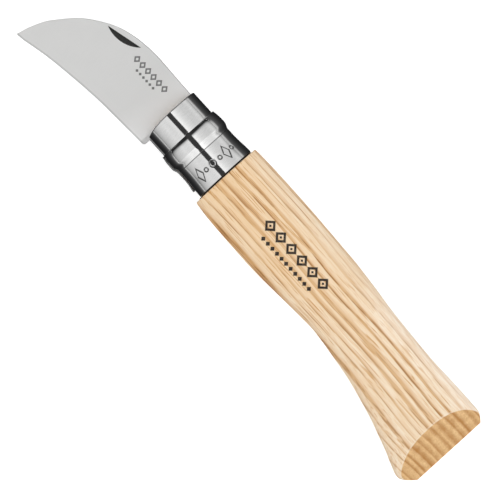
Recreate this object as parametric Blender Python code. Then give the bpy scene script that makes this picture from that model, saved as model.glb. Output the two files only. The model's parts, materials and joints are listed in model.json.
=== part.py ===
"""A wooden-handled folding knife with a turning lock ring, open and lying on its side.

Everything is drawn about the rivet: the blade points to -X, the handle runs to +X, the blade's back
and the handle's spine face +Y, and the blade folds towards the belly at -Y. Units are metres.
"""

import math

import bmesh
import bpy
import numpy as np

# The fixed collar, a rolled sleeve that is open along the belly
COLLAR_LENGTH = 0.0190
COLLAR_FRONT_REACH = 0.0106  # from the rivet to the front rim
COLLAR_FRONT_RADIUS = 0.0075
COLLAR_WAIST_DROP = 0.0005  # how much narrower the waist is than the front
COLLAR_REAR_FLARE = 0.00035  # how much wider the rear is than the waist
COLLAR_SHEET = 0.0005
COLLAR_SLOT_ROOM = 0.0004  # each side of the blade
COLLAR_SCOOP = 0.0012  # how far the front rim steps back at the belly

# The locking ring, which turns on the collar
RING_LENGTH = 0.0125
RING_SHEET = 0.0005
RING_GAP = 0.00025
RING_UPPER_ROOM = 0.0022  # from the blade to the slot's edge on the upper side
RING_LOWER_ROOM = 0.00035  # and on the lower side
RING_CORNER_CUT = 0.0018  # the lower edge's rear corner is cut away
RING_TO_SHOULDER = 0.0005
RING_EDGE_ROUND = 0.0004

# The wooden handle
COLLAR_TO_SHOULDER = 0.0003
HANDLE_LENGTH = 0.0815  # shoulder to butt
HANDLE_SPINE_RISE = 0.00942  # above the knife's axis
HANDLE_BELLY_DEPTH = 0.0099  # below it
HANDLE_HALF_WIDTH = 0.0093
FISHTAIL_DROP = 0.0086  # how far the butt's corner drops below the belly
SHOULDER_ROUND = 0.0003
NECK_GAP = 0.00025
NECK_SETBACK = 0.0013  # the neck ends behind the collar's front rim
BUTT_RIDGE = 0.0005  # width of the flat left between the butt's two bevels
SLOT_SIDE_ROOM = 0.0003  # each side of the blade
SLOT_FLOOR_ROOM = 0.0005  # behind the closed blade's edge
SLOT_TIP_ROOM = 0.0006

# The blade
BLADE_REACH = 0.0480  # rivet to tip
BLADE_HEIGHT = 0.02065  # tip to the highest point of the back, across the knife
BLADE_HUMP = 0.00024  # how far the back rises above its seat in the collar
BLADE_THICKNESS = 0.0015
BLADE_EDGE = 0.0001  # thickness left at the cutting edge and the tip
TANG_GAP = 0.0002  # between the tang and the collar or ring round it
TANG_END_RADIUS = 0.0046
HEEL_LENGTH = 0.0014  # how far the heel runs on past the collar's rim
HEEL_ROUND = 0.0008
NICK_LENGTH = 0.0092
NICK_WIDTH = 0.0014
NICK_DEPTH = 0.0004
NICK_STEP = 0.00005  # depth left at the nick's curved side

# The rivet
PIN_RADIUS = 0.00125
PIN_HOLE_GAP = 0.00008
PIN_DOME = 0.00035
PIN_HEAD_SINK = 0.00005  # how far the heads' rims lie below the collar's waist

CUT_OVERRUN = 0.003

FOLD_ANGLE = math.radians(168)
BEVEL_SLOPE_SHARE = 1.0  # a bevel's rise across the knife for each unit along it
SMOOTH_ANGLE = math.radians(35)
ROUND_STEPS = 72
SECTION_POINTS = 48
PIN_SIDES = 32
BLADE_RIBS = 30
ARC_STEPS = 14

# Places along the collar where its profile turns, as shares of its length
FRONT_END_SHARE = 0.535
WAIST_START_SHARE = 0.605
WAIST_END_SHARE = 0.70
COLLAR_PLACE_SHARES = (0, 0.09, 0.30, 0.535, 0.555, 0.57, 0.585, 0.605, 0.70, 0.80, 0.90, 1)
RING_PLACE_SHARES = (0, 0.03, 0.11, 0.32, 0.345, 0.37, 0.395, 0.42, 0.55, 0.70, 0.85, 1)
NECK_PLACE_SHARES = (0, 0.25, 0.50, 0.54, 0.57, 0.60, 0.75, 0.90, 1)
SHIFT_SPAN_SHARE = 0.30  # the part of a sleeve that moves with a shaped rim
SCOOP_POWER_SHARE = 1.7
RIM_SECOND_SHARE = 0.35  # of the ring's edge rounding, left at the profile's second place

# Along the grip from shoulder to butt: place, spine, belly, fishtail and width
HANDLE_SHARES = (
    (0.000, 0.978, 0.930, 0.000, 0.985),
    (0.040, 0.992, 0.962, 0.000, 1.000),
    (0.110, 1.000, 0.987, 0.000, 1.000),
    (0.190, 0.997, 0.997, 0.000, 1.000),
    (0.240, 0.991, 1.000, 0.000, 0.998),
    (0.290, 0.978, 0.984, 0.000, 0.988),
    (0.360, 0.959, 0.949, 0.000, 0.970),
    (0.430, 0.936, 0.914, 0.000, 0.948),
    (0.490, 0.895, 0.900, 0.000, 0.932),
    (0.530, 0.865, 0.924, 0.000, 0.922),
    (0.580, 0.817, 0.920, 0.062, 0.909),
    (0.630, 0.783, 0.905, 0.136, 0.896),
    (0.680, 0.759, 0.890, 0.237, 0.883),
    (0.730, 0.737, 0.880, 0.358, 0.871),
    (0.780, 0.722, 0.870, 0.484, 0.860),
    (0.830, 0.725, 0.865, 0.637, 0.850),
    (0.880, 0.731, 0.862, 0.792, 0.841),
    (0.925, 0.729, 0.860, 0.955, 0.834),
    (0.948, 0.726, 0.859, 1.020, 0.831),
    (0.960, 0.725, 0.858, 1.024, 0.829),
    (0.974, 0.713, 0.856, 0.953, 0.820),
    (0.986, 0.655, 0.853, 0.840, 0.800),
    (1.000, 0.560, 0.850, 0.690, 0.770),
)
# The section's superellipse power: 2 is an ellipse, more is squarer
SHOULDER_POWER_SHARE = 2.0
BUTT_POWER_SHARE = 2.4

# Along the blade from the collar's rim to the tip: place, and height above the tip
BACK_SHARES = (
    (0.00, 0.988),
    (0.10, 0.991),
    (0.20, 0.996),
    (0.31, 1.000),
    (0.41, 0.987),
    (0.52, 0.950),
    (0.63, 0.879),
    (0.73, 0.763),
    (0.79, 0.682),
    (0.84, 0.586),
    (0.89, 0.463),
    (0.92, 0.391),
    (0.947, 0.300),
    (0.973, 0.184),
    (0.990, 0.085),
    (1.00, 0.000),
)
EDGE_SHARES = (
    (0.00, 0.214),
    (0.15, 0.201),
    (0.36, 0.180),
    (0.57, 0.137),
    (0.79, 0.0755),
    (0.89, 0.035),
    (0.947, 0.011),
    (1.00, 0.000),
)
RIB_CROWDING_SHARE = 1.6  # over 1 crowds the ribs towards the tip
# The middle of the nick's straight side, as shares of the blade's length and height, and its slant
NICK_SHARES = (0.552, 0.864)
NICK_SLANT = math.radians(14)
TANG_DROP_SHARE = 0.2  # of the tang's end radius, each side of the rivet
TANG_END_ANGLES = tuple(math.radians(angle) for angle in (50, 36, 22, 7))
DOME_ANGLES = tuple(math.radians(angle) for angle in (0, 20, 40, 60, 78))

# Worked out from the sizes above, all measured from the rivet
COLLAR_FRONT = -COLLAR_FRONT_REACH
COLLAR_REAR = COLLAR_FRONT + COLLAR_LENGTH
COLLAR_WAIST = COLLAR_FRONT + COLLAR_LENGTH * WAIST_START_SHARE
SHOULDER = COLLAR_REAR + COLLAR_TO_SHOULDER
NECK_FRONT = COLLAR_FRONT + NECK_SETBACK
BUTT_END = SHOULDER + HANDLE_LENGTH
RING_REAR = SHOULDER - RING_TO_SHOULDER
RING_FRONT = RING_REAR - RING_LENGTH
HALF_BLADE = BLADE_THICKNESS / 2
BLADE_LENGTH = BLADE_REACH - COLLAR_FRONT_REACH


def clear_scene():
    for obj in list(bpy.data.objects):
        bpy.data.objects.remove(obj, do_unlink=True)


def material(name, colour, roughness, metallic):
    finish = bpy.data.materials.new(name)
    finish.use_nodes = True
    shader = finish.node_tree.nodes["Principled BSDF"]
    shader.inputs["Base Color"].default_value = (*colour, 1)
    shader.inputs["Roughness"].default_value = roughness
    shader.inputs["Metallic"].default_value = metallic
    finish.diffuse_color = (*colour, 1)
    return finish


def mesh_object(name, points, faces):
    """An object of these points and faces, its normals made to face out."""
    mesh = bpy.data.meshes.new(name)
    mesh.from_pydata([tuple(map(float, point)) for point in points], [], faces)
    build = bmesh.new()
    build.from_mesh(mesh)
    bmesh.ops.recalc_face_normals(build, faces=build.faces)
    build.to_mesh(mesh)
    build.free()
    mesh.shade_smooth()
    mesh.set_sharp_from_angle(angle=SMOOTH_ANGLE)
    obj = bpy.data.objects.new(name, mesh)
    bpy.context.scene.collection.objects.link(obj)
    return obj


def cutter(name, points, faces):
    obj = mesh_object(name, points, faces)
    obj.hide_render = True
    obj.display_type = "WIRE"
    return obj


def cut(obj, tool):
    modifier = obj.modifiers.new(tool.name, "BOOLEAN")
    modifier.operation = "DIFFERENCE"
    modifier.solver = "EXACT"
    modifier.object = tool


def joined_rings(rings):
    """Points and faces of closed rings of equal size joined end to end, with a cap on each end."""
    count = len(rings[0])
    last = (len(rings) - 1) * count
    points = [point for ring in rings for point in ring]
    faces = [tuple(range(count)), tuple(range(last, last + count))]
    for first in range(0, last, count):
        for i in range(count):
            j = (i + 1) % count
            faces.append((first + i, first + j, first + count + j, first + count + i))
    return points, faces


def smooth_rows(rows, places):
    """The rows of a table, read at any places by a cubic through its points."""
    table = np.array(rows, float)
    knots, values = table[:, 0], table[:, 1:]
    slopes = np.gradient(values, knots, axis=0)
    right = np.clip(np.searchsorted(knots, places, side="right"), 1, len(knots) - 1)
    left = right - 1
    span = (knots[right] - knots[left])[:, None]
    t = (places - knots[left])[:, None] / span
    return (
        (2 * t**3 - 3 * t**2 + 1) * values[left]
        + (t**3 - 2 * t**2 + t) * span * slopes[left]
        + (3 * t**2 - 2 * t**3) * values[right]
        + (t**3 - t**2) * span * slopes[right]
    )


def eased(share):
    """0 below 0 and 1 above 1, with a smooth rise between."""
    held = min(max(share, 0), 1)
    return held * held * (3 - 2 * held)


# The collar and the ring

def collar_radius(x):
    """The collar's outer radius: straight at the front, drawn in at the waist, flared at the rear."""
    share = (x - COLLAR_FRONT) / COLLAR_LENGTH
    drawn_in = eased((share - FRONT_END_SHARE) / (WAIST_START_SHARE - FRONT_END_SHARE))
    flared = eased((share - WAIST_END_SHARE) / (1 - WAIST_END_SHARE))
    return COLLAR_FRONT_RADIUS - COLLAR_WAIST_DROP * drawn_in + COLLAR_REAR_FLARE * flared


def collar_bore(x):
    return collar_radius(x) - COLLAR_SHEET


def ring_bore(x):
    return collar_radius(x) + RING_GAP


def rolled_shell(outer, inner, first_angle, last_angle, front_shift, rear_shift):
    """Points and faces of a sleeve rolled round X from one edge of its slot to the other.

    outer and inner are lists of (x, radius) from front to rear. Angles are measured from the belly
    towards +Z. The shifts say how far each rim steps inwards along X at an angle.
    """
    profile = outer + inner[::-1]
    front, rear = outer[0][0], outer[-1][0]
    span = SHIFT_SPAN_SHARE * (rear - front)
    rings = []
    for angle in np.linspace(first_angle, last_angle, ROUND_STEPS + 1):
        ring = []
        for x, radius in profile:
            x_shaped = x + front_shift(angle) * max(0, 1 - (x - front) / span)
            x_shaped -= rear_shift(angle) * max(0, 1 - (rear - x) / span)
            ring.append((x_shaped, -radius * math.cos(angle), radius * math.sin(angle)))
        rings.append(ring)
    points, faces = joined_rings(rings)
    return points, faces[2:] + edge_strips(len(outer), len(profile), len(points))


def edge_strips(half, count, total):
    """The faces across the sheet at the slot's two edges."""
    strips = []
    for first in (0, total - count):
        for i in range(half - 1):
            across = count - 1 - i
            strips.append((first + i, first + i + 1, first + across - 1, first + across))
    return strips


def no_shift(angle):
    return 0


def scoop(angle):
    """How far the collar's front rim steps back: most at the belly, nothing past mid-height."""
    from_belly = min(angle, 2 * math.pi - angle)
    return COLLAR_SCOOP * max(0, 1 - from_belly / (math.pi / 2)) ** SCOOP_POWER_SHARE


def make_fixed_collar():
    half_slot = math.asin((HALF_BLADE + COLLAR_SLOT_ROOM) / COLLAR_FRONT_RADIUS)
    places = [COLLAR_FRONT + share * COLLAR_LENGTH for share in COLLAR_PLACE_SHARES]
    outer = [(x, collar_radius(x)) for x in places]
    inner = [(x, collar_bore(x)) for x in places]
    shell = rolled_shell(outer, inner, half_slot, 2 * math.pi - half_slot, scoop, no_shift)
    return mesh_object("fixed_collar", *shell)


def make_locking_ring():
    """Its slot lies over the collar's, so that the blade is free; turning it closes the slot."""
    radius = ring_bore(RING_FRONT) + RING_SHEET
    upper_edge = math.asin((HALF_BLADE + RING_UPPER_ROOM) / radius)
    lower_edge = 2 * math.pi - math.asin((HALF_BLADE + RING_LOWER_ROOM) / radius)

    def corner(angle):
        return max(0, RING_CORNER_CUT - (lower_edge - angle) * radius)

    places = [RING_FRONT + share * RING_LENGTH for share in RING_PLACE_SHARES]
    inner = [(x, ring_bore(x)) for x in places]
    outer = [(x, bore + RING_SHEET) for x, bore in inner]
    outer[0] = (places[0], outer[0][1] - RING_EDGE_ROUND)
    outer[1] = (places[1], outer[1][1] - RING_EDGE_ROUND * RIM_SECOND_SHARE)
    shell = rolled_shell(outer, inner, upper_edge, lower_edge, no_shift, corner)
    return mesh_object("locking_ring", *shell)


# The blade

def open_place(x, y):
    """Where a point of the closed blade lies when the blade is open."""
    cosine, sine = math.cos(FOLD_ANGLE), math.sin(FOLD_ANGLE)
    return (x * cosine + y * sine, y * cosine - x * sine)


def closed_place(x, y):
    """Where a point of the open blade lies when the blade is closed."""
    cosine, sine = math.cos(FOLD_ANGLE), math.sin(FOLD_ANGLE)
    return (x * cosine - y * sine, x * sine + y * cosine)


def reach_inside(radius):
    """How far the blade may reach towards a round wall of this radius, in its middle plane."""
    return math.sqrt((radius - TANG_GAP) ** 2 - HALF_BLADE**2)


SEAT_Y = reach_inside(collar_bore(COLLAR_FRONT))
TIP_Y = SEAT_Y + BLADE_HUMP - BLADE_HEIGHT


def blade_curve(rows, shares):
    """Points of the back or the edge at these shares of the way from the collar's rim to the tip."""
    heights = smooth_rows(rows, shares)[:, 0]
    places = COLLAR_FRONT - shares * BLADE_LENGTH
    return [(x, TIP_Y + height * BLADE_HEIGHT) for x, height in zip(places, heights)]


def tang_back():
    """The tang's upper side, from the collar's rim to the rivet.

    A notch inside the collar makes room for the turned ring when the blade is closed.
    """
    slant_sine, slant_cosine = math.sin(FOLD_ANGLE), -math.cos(FOLD_ANGLE)
    wall_x = RING_REAR + TANG_GAP
    floor_y = -reach_inside(ring_bore(COLLAR_WAIST))
    wall_top = open_place(wall_x, -(SEAT_Y + wall_x * slant_sine) / slant_cosine)
    wall_foot = open_place(wall_x, floor_y)
    floor_end = open_place((-floor_y * slant_cosine - SEAT_Y) / slant_sine, floor_y)
    between = [
        tuple(np.array(wall_foot) + share * (np.array(floor_end) - np.array(wall_foot)))
        for share in (1 / 3, 2 / 3)
    ]
    drop = TANG_DROP_SHARE * TANG_END_RADIUS
    drop_end = (drop, reach_inside(collar_bore(COLLAR_WAIST)) - TANG_GAP)
    return [wall_top, wall_foot, *between, floor_end, (-drop, SEAT_Y), drop_end]


def tang_underside(edge_y):
    """The heel's round corner, and the tang's lower side, which clears the collar when closed."""
    heel = COLLAR_FRONT + HEEL_LENGTH
    flush_y = -reach_inside(collar_radius(COLLAR_FRONT))
    closed_y = reach_inside(collar_bore(COLLAR_WAIST))
    slant_sine, slant_cosine = math.sin(FOLD_ANGLE), -math.cos(FOLD_ANGLE)

    def closing_line(x):
        return -(closed_y - x * slant_sine) / slant_cosine

    flush_end = (closed_y + flush_y * slant_cosine) / slant_sine
    drop = TANG_DROP_SHARE * TANG_END_RADIUS
    corner = HEEL_ROUND * (1 - math.sqrt(0.5))
    return [
        (heel - HEEL_ROUND, edge_y),
        (heel - corner, edge_y + corner),
        (heel, edge_y + HEEL_ROUND),
        (heel, flush_y),
        (flush_end, flush_y),
        (-drop, closing_line(-drop)),
        (drop, closing_line(drop)),
    ]


def blade_sides():
    """Back and underside from tip to tang as lists of (x, y, half thickness), a rib at each pair."""
    shares = 1 - np.linspace(0, 1, BLADE_RIBS) ** RIB_CROWDING_SHARE
    back, edge = blade_curve(BACK_SHARES, shares), blade_curve(EDGE_SHARES, shares)
    back[0] = (back[0][0], edge[0][1] + BLADE_EDGE)
    full_height = back[-1][1] - edge[-1][1]
    half_edge = BLADE_EDGE / 2
    upper, lower = [], []
    for (x, top), (_, bottom) in zip(back, edge):
        ground = min(1, (top - bottom) / full_height)
        upper.append((x, top, half_edge + (HALF_BLADE - half_edge) * ground))
        lower.append((x, bottom, half_edge))
    upper += [(x, y, HALF_BLADE) for x, y in tang_back()]
    underside = tang_underside(edge[-1][1])
    lower.append((*underside[0], half_edge))
    lower.append((*underside[1], (half_edge + HALF_BLADE) / 2))
    lower += [(x, y, HALF_BLADE) for x, y in underside[2:]]
    for angle in TANG_END_ANGLES:
        x, y = TANG_END_RADIUS * math.cos(angle), TANG_END_RADIUS * math.sin(angle)
        upper.append((x, y, HALF_BLADE))
        lower.append((x, -y, HALF_BLADE))
    return upper, lower


def make_blade():
    upper, lower = blade_sides()
    ribs = []
    for (x_up, y_up, half_up), (x_low, y_low, half_low) in zip(upper, lower):
        ribs.append(
            [
                (x_up, y_up, half_up),
                (x_up, y_up, -half_up),
                (x_low, y_low, -half_low),
                (x_low, y_low, half_low),
            ]
        )
    blade = mesh_object("blade", *joined_rings(ribs))
    cut(blade, nail_nick())
    return blade


def nail_nick():
    """A round-bottomed cutter's mark: straight and deep along its upper side, fading below."""
    along_share, height_share = NICK_SHARES
    middle = (COLLAR_FRONT - along_share * BLADE_LENGTH, TIP_Y + height_share * BLADE_HEIGHT)
    radius = NICK_LENGTH**2 / (8 * NICK_WIDTH) + NICK_WIDTH / 2
    half_turn = math.asin(NICK_LENGTH / 2 / radius)
    face = HALF_BLADE * height_share
    cosine, sine = math.cos(NICK_SLANT), math.sin(NICK_SLANT)
    floor, top = [], []
    for angle in np.linspace(-half_turn, half_turn, ARC_STEPS):
        along = radius * math.sin(angle)
        below = radius * math.cos(angle) - (radius - NICK_WIDTH)
        x = middle[0] + along * cosine + below * sine
        y = middle[1] + along * sine - below * cosine
        depth = NICK_DEPTH + (NICK_STEP - NICK_DEPTH) * below / NICK_WIDTH
        floor.append((x, y, face - depth))
        top.append((x, y, HALF_BLADE + CUT_OVERRUN))
    return cutter("nail_nick_cut", *joined_rings([floor, top]))


# The handle

def handle_stations():
    """Along the grip: place, spine height, belly height and half width."""
    knots = np.array(HANDLE_SHARES)[:, 0]
    shares = np.sort(np.concatenate([knots, (knots[:-1] + knots[1:]) / 2]))
    spine, belly, tail, width = smooth_rows(HANDLE_SHARES, shares).T
    return (
        SHOULDER + shares * HANDLE_LENGTH,
        spine * HANDLE_SPINE_RISE,
        -(belly * HANDLE_BELLY_DEPTH + tail * FISHTAIL_DROP),
        width * HANDLE_HALF_WIDTH,
    )


def oval_ring(x, top, bottom, half_width, power):
    """A superellipse across the handle at x."""
    centre, half_height = (top + bottom) / 2, (top - bottom) / 2
    ring = []
    for angle in np.arange(SECTION_POINTS) * 2 * math.pi / SECTION_POINTS:
        tall, wide = math.cos(angle), math.sin(angle)
        y = centre + half_height * math.copysign(abs(tall) ** (2 / power), tall)
        z = half_width * math.copysign(abs(wide) ** (2 / power), wide)
        ring.append((x, y, z))
    return ring


def handle_rings():
    rings = []
    for share in NECK_PLACE_SHARES:
        x = NECK_FRONT + share * (SHOULDER - NECK_FRONT)
        radius = collar_bore(x) - NECK_GAP
        rings.append(oval_ring(x, radius, -radius, radius, SHOULDER_POWER_SHARE))
    xs, tops, bottoms, widths = handle_stations()
    edge = (tops[0] - SHOULDER_ROUND, bottoms[0] + SHOULDER_ROUND, widths[0] - SHOULDER_ROUND)
    rings.append(oval_ring(SHOULDER, *edge, SHOULDER_POWER_SHARE))
    xs[0] += SHOULDER_ROUND
    for x, top, bottom, width in zip(xs, tops, bottoms, widths):
        along = (x - SHOULDER) / HANDLE_LENGTH
        power = SHOULDER_POWER_SHARE + along * (BUTT_POWER_SHARE - SHOULDER_POWER_SHARE)
        rings.append(oval_ring(x, top, bottom, width, power))
    return rings


def make_handle():
    handle = mesh_object("handle", *joined_rings(handle_rings()))
    cut(handle, blade_slot())
    cut(handle, butt_bevel("upper_bevel_cut", 1))
    cut(handle, butt_bevel("lower_bevel_cut", -1))
    return handle


def blade_slot():
    """The saw cut for the closed blade: a straight floor, and an end that is an arc about the rivet."""
    heel_x, heel_y = closed_place(*tang_underside(blade_curve(EDGE_SHARES, np.zeros(1))[0][1])[0])
    tip_x, tip_y = closed_place(-BLADE_REACH, TIP_Y)
    slope = (tip_y - heel_y) / (tip_x - heel_x)

    def floor(x):
        return heel_y + SLOT_FLOOR_ROOM + slope * (x - heel_x)

    reach = math.hypot(BLADE_REACH, TIP_Y) + SLOT_TIP_ROOM
    below = -HANDLE_BELLY_DEPTH - FISHTAIL_DROP
    angles = np.linspace(math.asin(below / reach), math.asin(floor(reach) / reach), ARC_STEPS)
    outline = [(reach * math.cos(angle), reach * math.sin(angle)) for angle in angles]
    front = COLLAR_FRONT - CUT_OVERRUN
    through = max(floor(SHOULDER), COLLAR_FRONT_RADIUS)
    outline += [(SHOULDER, floor(SHOULDER)), (COLLAR_REAR, through), (front, through), (front, below)]
    half_slot = HALF_BLADE + SLOT_SIDE_ROOM
    sides = [[(x, y, z) for x, y in outline] for z in (-half_slot, half_slot)]
    return cutter("blade_slot_cut", *joined_rings(sides))


def butt_bevel(name, side):
    """One of the two bevels that meet in the butt's ridge."""
    deep = HANDLE_HALF_WIDTH + CUT_OVERRUN
    wide = BUTT_RIDGE / 2 + deep * BEVEL_SLOPE_SHARE
    outline = [
        (BUTT_END, side * BUTT_RIDGE / 2),
        (BUTT_END - deep, side * wide),
        (BUTT_END + CUT_OVERRUN, side * wide),
        (BUTT_END + CUT_OVERRUN, side * BUTT_RIDGE / 2),
    ]
    tall = HANDLE_BELLY_DEPTH + FISHTAIL_DROP + CUT_OVERRUN
    sides = [[(x, y, z) for x, z in outline] for y in (-tall, tall)]
    return cutter(name, *joined_rings(sides))


# The rivet

def pin_ring(radius, z):
    turns = np.arange(PIN_SIDES) * 2 * math.pi / PIN_SIDES
    return [(radius * math.cos(turn), radius * math.sin(turn), z) for turn in turns]


def make_pin():
    """A plain rivet with domed heads, which lie in holes through the collar, under the ring."""
    rim = collar_radius(PIN_RADIUS) - PIN_HEAD_SINK
    dome = [(math.cos(angle), math.sin(angle)) for angle in DOME_ANGLES]
    upper = [pin_ring(PIN_RADIUS * out, rim + PIN_DOME * up) for out, up in dome]
    lower = [pin_ring(PIN_RADIUS * out, -rim - PIN_DOME * up) for out, up in reversed(dome)]
    return mesh_object("pivot_pin", *joined_rings(lower + upper))


def pin_hole():
    deep = COLLAR_FRONT_RADIUS + CUT_OVERRUN
    radius = PIN_RADIUS + PIN_HOLE_GAP
    return cutter("pin_hole_cut", *joined_rings([pin_ring(radius, -deep), pin_ring(radius, deep)]))


def place_knife(pieces):
    """Lays the knife on its side, centred over the origin."""
    _, tops, bottoms, widths = handle_stations()
    knife = bpy.data.objects.new("knife", None)
    bpy.context.scene.collection.objects.link(knife)
    knife.location = (
        (BLADE_REACH - BUTT_END) / 2,
        -(max(tops) + min(*bottoms, TIP_Y)) / 2,
        max(widths),
    )
    for piece in pieces:
        piece.parent = knife


def main():
    clear_scene()
    handle, blade = make_handle(), make_blade()
    collar, ring, pin = make_fixed_collar(), make_locking_ring(), make_pin()
    hole = pin_hole()
    for drilled in (handle, blade, collar):
        cut(drilled, hole)
    finishes = {
        handle: material("pale_ash", (0.70, 0.53, 0.35), 0.55, 0.0),
        blade: material("satin_steel", (0.66, 0.67, 0.68), 0.32, 1.0),
        collar: material("polished_collar_steel", (0.78, 0.78, 0.77), 0.12, 1.0),
        ring: material("polished_ring_steel", (0.80, 0.80, 0.79), 0.12, 1.0),
        pin: material("rivet_steel", (0.60, 0.60, 0.60), 0.35, 1.0),
    }
    for obj, finish in finishes.items():
        obj.data.materials.append(finish)
    place_knife([obj for obj in bpy.data.objects if obj.type == "MESH"])


main()
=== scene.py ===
"""An open folding knife on a white table: ash handle, steel collar and lock ring, hooked blade."""

import bmesh
import bpy
import json
import math
import numpy as np
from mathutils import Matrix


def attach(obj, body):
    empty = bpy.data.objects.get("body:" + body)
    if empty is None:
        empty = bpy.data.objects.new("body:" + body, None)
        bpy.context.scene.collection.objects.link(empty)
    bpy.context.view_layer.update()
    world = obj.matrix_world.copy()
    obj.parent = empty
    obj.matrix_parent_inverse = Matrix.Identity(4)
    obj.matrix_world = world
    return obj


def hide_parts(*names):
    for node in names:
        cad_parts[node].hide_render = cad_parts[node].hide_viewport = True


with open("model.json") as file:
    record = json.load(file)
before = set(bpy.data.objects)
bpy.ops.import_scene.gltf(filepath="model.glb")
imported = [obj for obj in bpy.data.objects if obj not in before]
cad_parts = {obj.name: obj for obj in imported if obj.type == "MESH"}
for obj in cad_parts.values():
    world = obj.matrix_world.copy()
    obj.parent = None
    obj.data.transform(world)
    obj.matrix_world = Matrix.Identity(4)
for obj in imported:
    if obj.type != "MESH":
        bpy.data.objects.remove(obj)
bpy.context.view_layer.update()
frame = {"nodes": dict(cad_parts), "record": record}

# Sizes are in metres and places are measured from the rivet, with the blade towards -X and the
# belly towards -Y. Patterns in the materials are measured from the rivet in millimetres.
RIVET = np.array(frame["record"]["behaviour"]["joints"][0]["pos_m"])
MM = 0.001


# The handle
# One piece of pale ash, turned to an oval grip with a fishtail butt that two bevels cut to a ridge.
# A saw cut takes the closed blade, and the neck at the front carries the collar. The wood is sanded
# fine and thinly varnished, and a border of plain lozenges is burnt into its upper side.

SHOULDER = 0.0087
HANDLE_LENGTH = 0.0815
BUTT_END = SHOULDER + HANDLE_LENGTH
SPINE_RISE = 0.00942
BELLY_DEPTH = 0.0099
HALF_WIDTH = 0.0093
FISHTAIL_DROP = 0.0086
SHOULDER_ROUND = 0.0003
SHOULDER_POWER = 2.0
BUTT_POWER = 2.4
BUTT_RIDGE = 0.0005
BUTT_EDGE_ROUND = 0.0003
NECK_FRONT = -0.0093
NECK_RADIUS = 0.00675
NECK_WAIST_RADIUS = 0.00625
STEP_RADIUS = 0.0080
SLOT_HALF_WIDTH = 0.00105
SLOT_REACH = 0.0505
SLOT_FRONT_FLOOR = 0.00773
SLOT_END_FLOOR = 0.00381
SLOT_BELOW = -0.0185
SLOT_FRONT = -0.0136
PIN_HOLE_RADIUS = 0.00133
MERGE_DISTANCE = 2e-6

# Edges of the wood and of the cutting tools that turn by more degrees than this stay sharp
CREASE = 40

# Rows of points along the shoulder's round, the grip and the butt, columns round the handle, and
# points along the saw cut's end and round the rivet's hole
SHOULDER_ROWS = 7
GRIP_ROWS = 260
BUTT_ROWS = 84
HANDLE_TURNS = 192
SLOT_POINTS = 60
HOLE_POINTS = 48

# Along the neck: its rows of points, and the stretch in which it narrows to its waist
NECK_SHARES = (0, 0.02, 0.25, 0.5, 0.54, 0.57, 0.6, 0.75, 0.9, 0.988, 0.9895, 0.999)
NECK_NARROWS = (0.5, 0.6)

# Along the grip from shoulder to butt: place, spine, belly, fishtail and width
HANDLE_SHARES = (
    (0.000, 0.978, 0.930, 0.000, 0.985),
    (0.040, 0.992, 0.962, 0.000, 1.000),
    (0.110, 1.000, 0.987, 0.000, 1.000),
    (0.190, 0.997, 0.997, 0.000, 1.000),
    (0.240, 0.991, 1.000, 0.000, 0.998),
    (0.290, 0.978, 0.984, 0.000, 0.988),
    (0.360, 0.959, 0.949, 0.000, 0.970),
    (0.430, 0.936, 0.914, 0.000, 0.948),
    (0.490, 0.895, 0.900, 0.000, 0.932),
    (0.530, 0.865, 0.924, 0.000, 0.922),
    (0.580, 0.817, 0.920, 0.062, 0.909),
    (0.630, 0.783, 0.905, 0.136, 0.896),
    (0.680, 0.759, 0.890, 0.237, 0.883),
    (0.730, 0.737, 0.880, 0.358, 0.871),
    (0.780, 0.722, 0.870, 0.484, 0.860),
    (0.830, 0.725, 0.865, 0.637, 0.850),
    (0.880, 0.731, 0.862, 0.792, 0.841),
    (0.925, 0.729, 0.860, 0.955, 0.834),
    (0.948, 0.726, 0.859, 1.020, 0.831),
    (0.960, 0.725, 0.858, 1.024, 0.829),
    (0.974, 0.713, 0.856, 0.953, 0.820),
    (0.986, 0.655, 0.853, 0.840, 0.800),
    (1.000, 0.560, 0.850, 0.690, 0.770),
)

# Linear colours of the wood, from the palest ground to the darkest pore. The white is a painted
# sheen, and the neck's near black a painted shade
SHEEN_WHITE_ASH = (0.96, 0.84, 0.70)
CREAM_ASH = (0.89, 0.745, 0.57)
HONEY_ASH = (0.79, 0.55, 0.31)
BAND_TAN = (0.57, 0.285, 0.085)
PORE_BROWN = (0.31, 0.115, 0.02)
END_PALE = (0.82, 0.55, 0.27)
END_BROWN = (0.47, 0.21, 0.055)
NECK_PAINTED_SHADE = (0.012, 0.008, 0.006)
SAW_CUT_BROWN = (0.40, 0.25, 0.13)
BURNT = (0.010, 0.007, 0.006)

# The growth rings: Y and Z of the pith, their width, and how far they sway, waver and vary
PITH = (-75.0, 4.0)
GROWTH_WIDTH = 1.9
GROWTH_SWAY = 6.0
GROWTH_WAVER = 0.5
GROWTH_VARIES = 1.1

# Stretches along X or Y in which the streaks thin out, or in which the ground is painted white as a
# painted sheen
CLEAN_SPINE = (1.0, 7.0)
CLEANER_BEHIND = (25.0, 60.0)
CLEAN_TAIL = (50.0, 68.0)
TAIL_MIDDLE = (-9.0, -3.0)
SHEEN_TAIL = (42.0, 66.0)
SHEEN_SPINE = (1.5, 5.5)

# Millimetres from the bevels' planes, over which end grain turns to long grain, and a painted
# highlight along the rim
END_GRAIN_BORDER = (0.03, 0.13)
RIM_PAINTED_HIGHLIGHT = (0.12, 0.34)

# Rows of burnt lozenges: start, end, number, place across the handle, and height
BORDER = (22.3, 43.7, 6, -0.15, 3.3)
TICKS = (24.4, 41.4, 11, -3.3, 1.5)
LOZENGE_REACH = 0.46


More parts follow.
